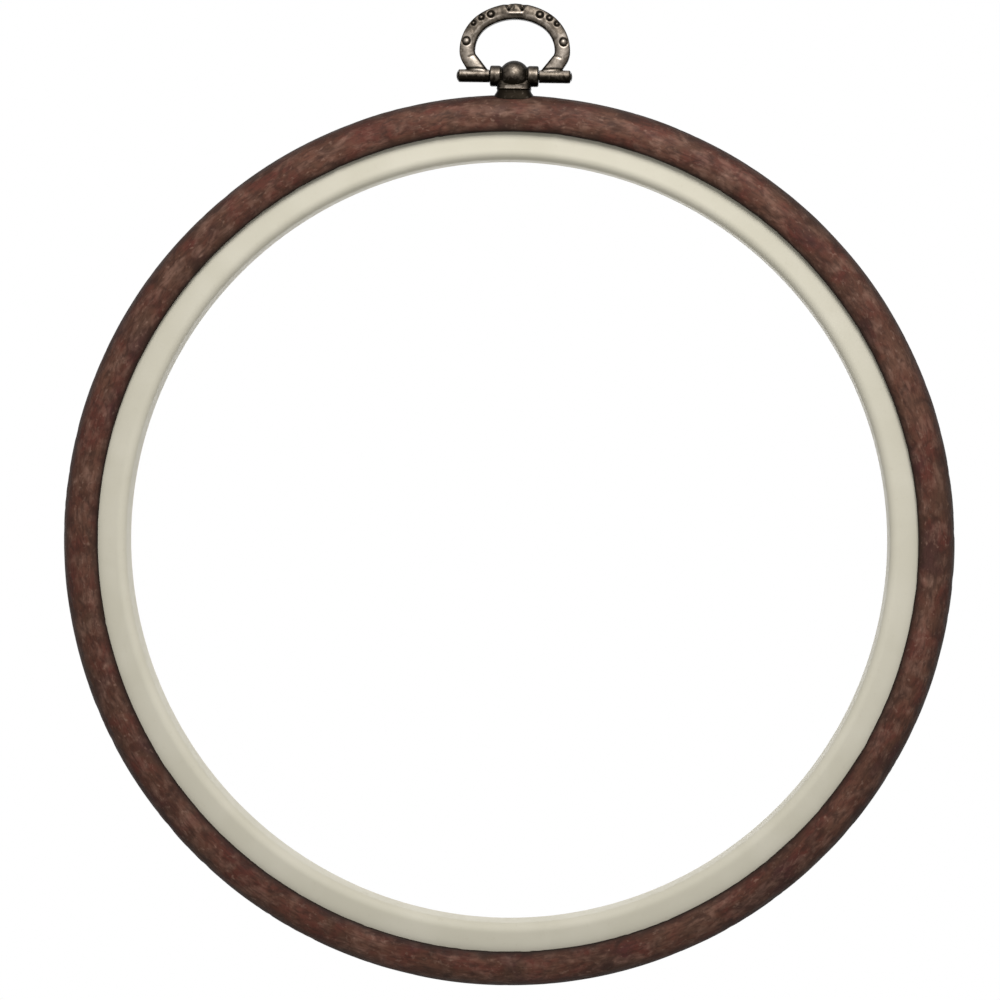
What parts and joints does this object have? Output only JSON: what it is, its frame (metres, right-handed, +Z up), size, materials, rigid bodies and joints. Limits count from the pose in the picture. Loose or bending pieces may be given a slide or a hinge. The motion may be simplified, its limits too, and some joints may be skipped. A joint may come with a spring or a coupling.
{
  "type": "embroidery hoop",
  "caption": "Round framing embroidery hoop: a flexible wood-grain ring over a rigid ivory ring, with a swinging cast bail at the top.",
  "frame": {"origin": "centre of the hoop, on its mid-plane and on the axis of the window", "axes": "+Z up to the hanger, the front faces -Y and the frame ring comes out at the back along +Y, +X to the right as seen from the front"},
  "size_m": [0.2032, 0.01, 0.2239],
  "materials": {
    "wood_grain_vinyl": "flexible vinyl moulded and printed as dark wood, satin",
    "ivory_plastic": "rigid moulded plastic, soft gloss",
    "antique_brass": "die cast, dark antique plating worn bright on the high places",
    "brass_wire": "drawn wire, darkened",
    "zinc_steel": "zinc plated"
  },
  "bodies": {
    "bail": {"hanger_bail": "antique_brass"},
    "hoop": {"outer_ring": "wood_grain_vinyl", "hanger_head": "antique_brass", "pivot_pin": "brass_wire", "fixing_screw": "zinc_steel", "screw_washer": "zinc_steel"},
    "frame": {"inner_ring": "ivory_plastic"}
  },
  "joints": [
    {"name": "bail_hinge", "type": "hinge", "parent": "bail", "child": "hoop", "pos_m": [0, 0, 0.1058], "axis": [1, 0, 0], "range_deg": [-130, 120]},
    {"name": "frame_slide", "type": "slide", "parent": "hoop", "child": "frame", "axis": [0, 1, 0], "range_m": [0, 0.015]}
  ]
}
